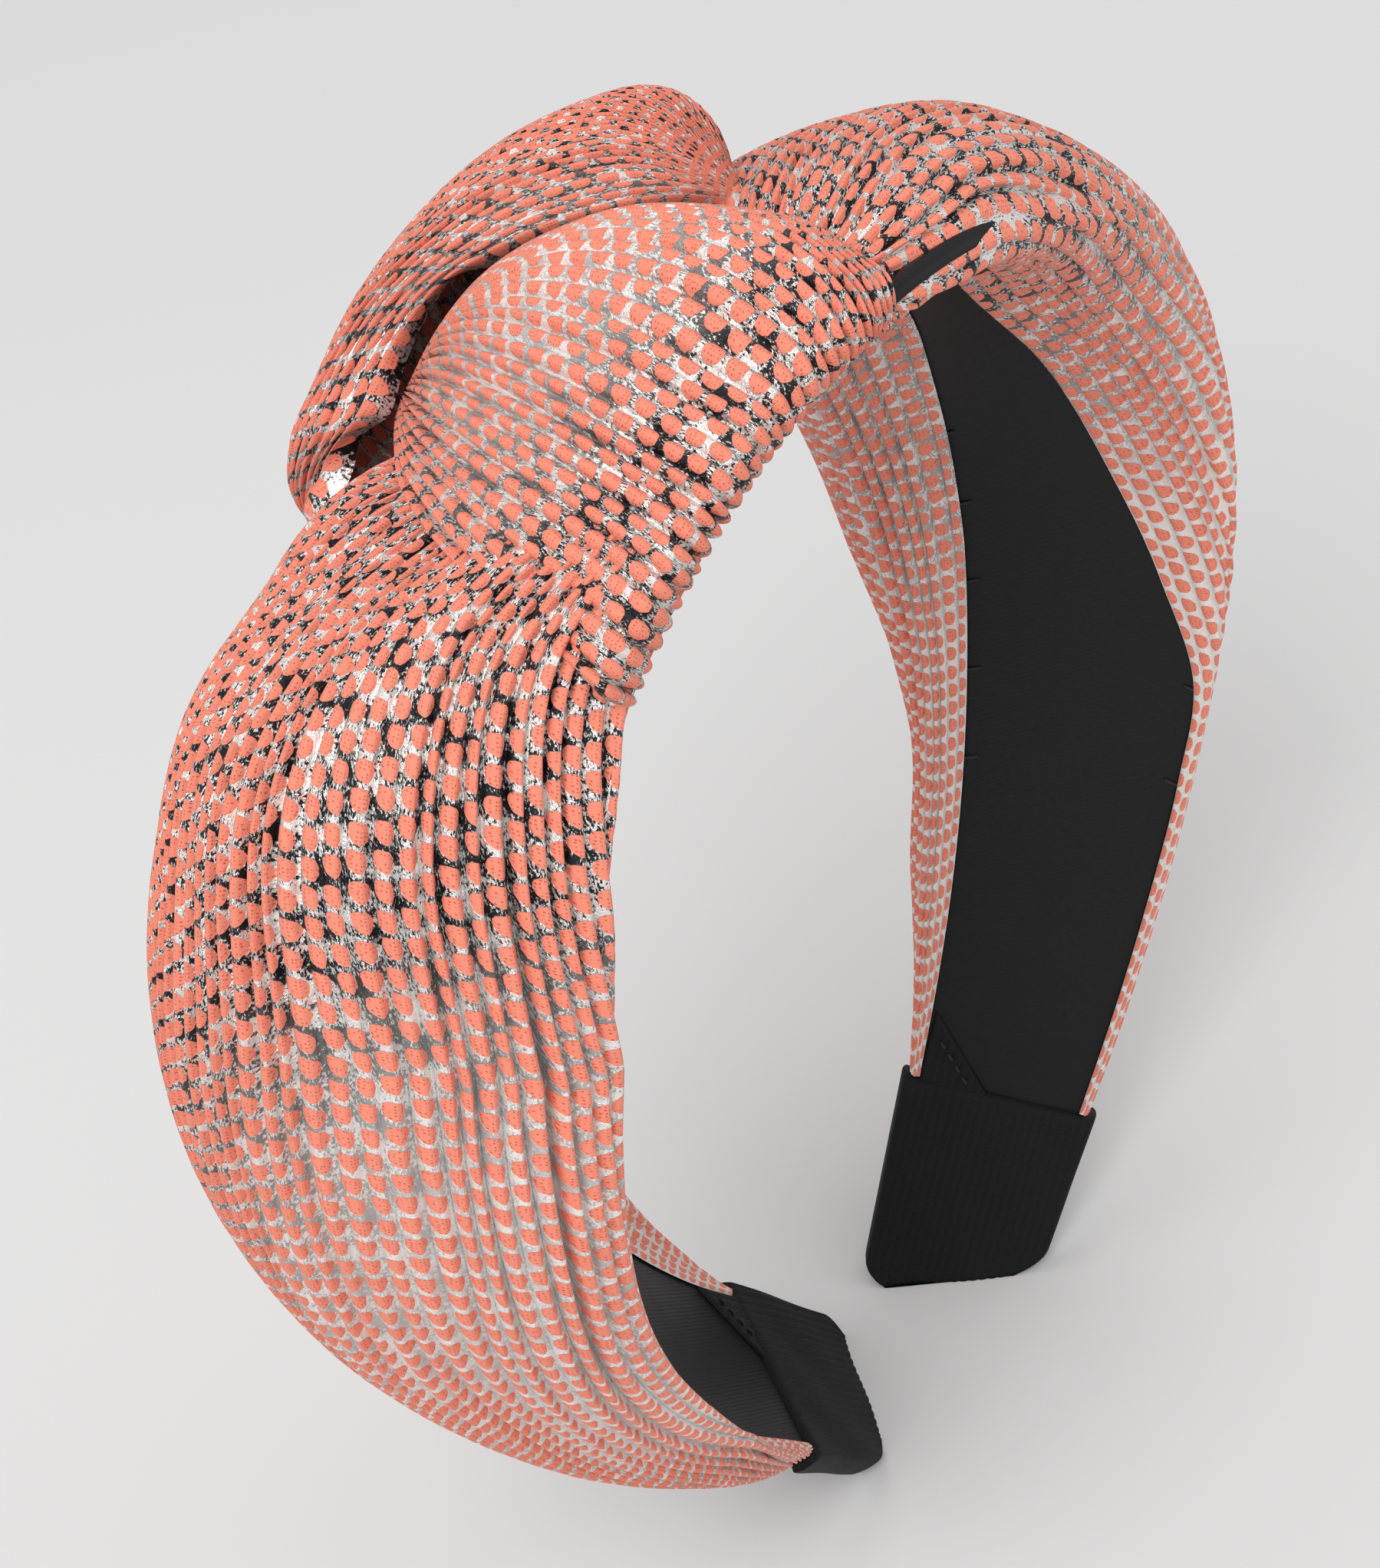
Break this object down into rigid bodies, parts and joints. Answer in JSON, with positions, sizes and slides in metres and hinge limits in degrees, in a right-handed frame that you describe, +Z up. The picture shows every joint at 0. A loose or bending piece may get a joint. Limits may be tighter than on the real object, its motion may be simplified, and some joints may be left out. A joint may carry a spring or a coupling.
{
  "type": "knotted headband",
  "caption": "Rigid C-shaped hair hoop with puffed pleated covers knotted on top, satin lining and grosgrain ribbon round its tips.",
  "frame": {"origin": "on the floor, under the middle of the headband's box as it stands on its two tips", "axes": "+Z up to the knot; +X from the left tip to the right tip, with the knot a little to the left; +Y across the band from its front edge to its rear edge"},
  "size_m": [0.1324, 0.0574, 0.1734],
  "materials": {
    "hoop_plastic": "moulded black plastic",
    "satin": "black satin",
    "pleated_cloth": "pleated coral knit with silver foil print",
    "grosgrain": "ribbed black grosgrain ribbon",
    "thread": "black sewing thread"
  },
  "bodies": {
    "crown": {"hoop_crown": "hoop_plastic", "crown_outer_satin": "satin", "crown_lining": "satin", "knot_front_strap": "pleated_cloth", "knot_rear_strap": "pleated_cloth", "knot_tacks": "thread"},
    "left_arm": {"hoop_left_arm": "hoop_plastic", "left_outer_satin": "satin", "left_lining": "satin", "left_cover": "pleated_cloth", "left_tip_ribbon": "grosgrain", "left_ribbon_flap": "grosgrain", "left_hem_stitches": "thread", "left_tip_stitches": "thread"},
    "right_arm": {"hoop_right_arm": "hoop_plastic", "right_outer_satin": "satin", "right_lining": "satin", "right_cover": "pleated_cloth", "right_tip_ribbon": "grosgrain", "right_ribbon_flap": "grosgrain", "right_hem_stitches": "thread", "right_tip_stitches": "thread"}
  },
  "joints": [
    {"name": "left_arm_flex", "type": "hinge", "parent": "crown", "child": "left_arm", "pos_m": [-0.02371, -0.00511, 0.13812], "axis": [0.3532, 0.8812, -0.3142], "range_deg": [-1, 12], "stiffness_Nm_per_rad": 1.5},
    {"name": "right_arm_flex", "type": "hinge", "parent": "crown", "child": "right_arm", "pos_m": [0.02649, -0.00566, 0.14598], "axis": [0.2214, -0.8875, 0.4041], "range_deg": [-1, 12], "stiffness_Nm_per_rad": 1.5}
  ]
}
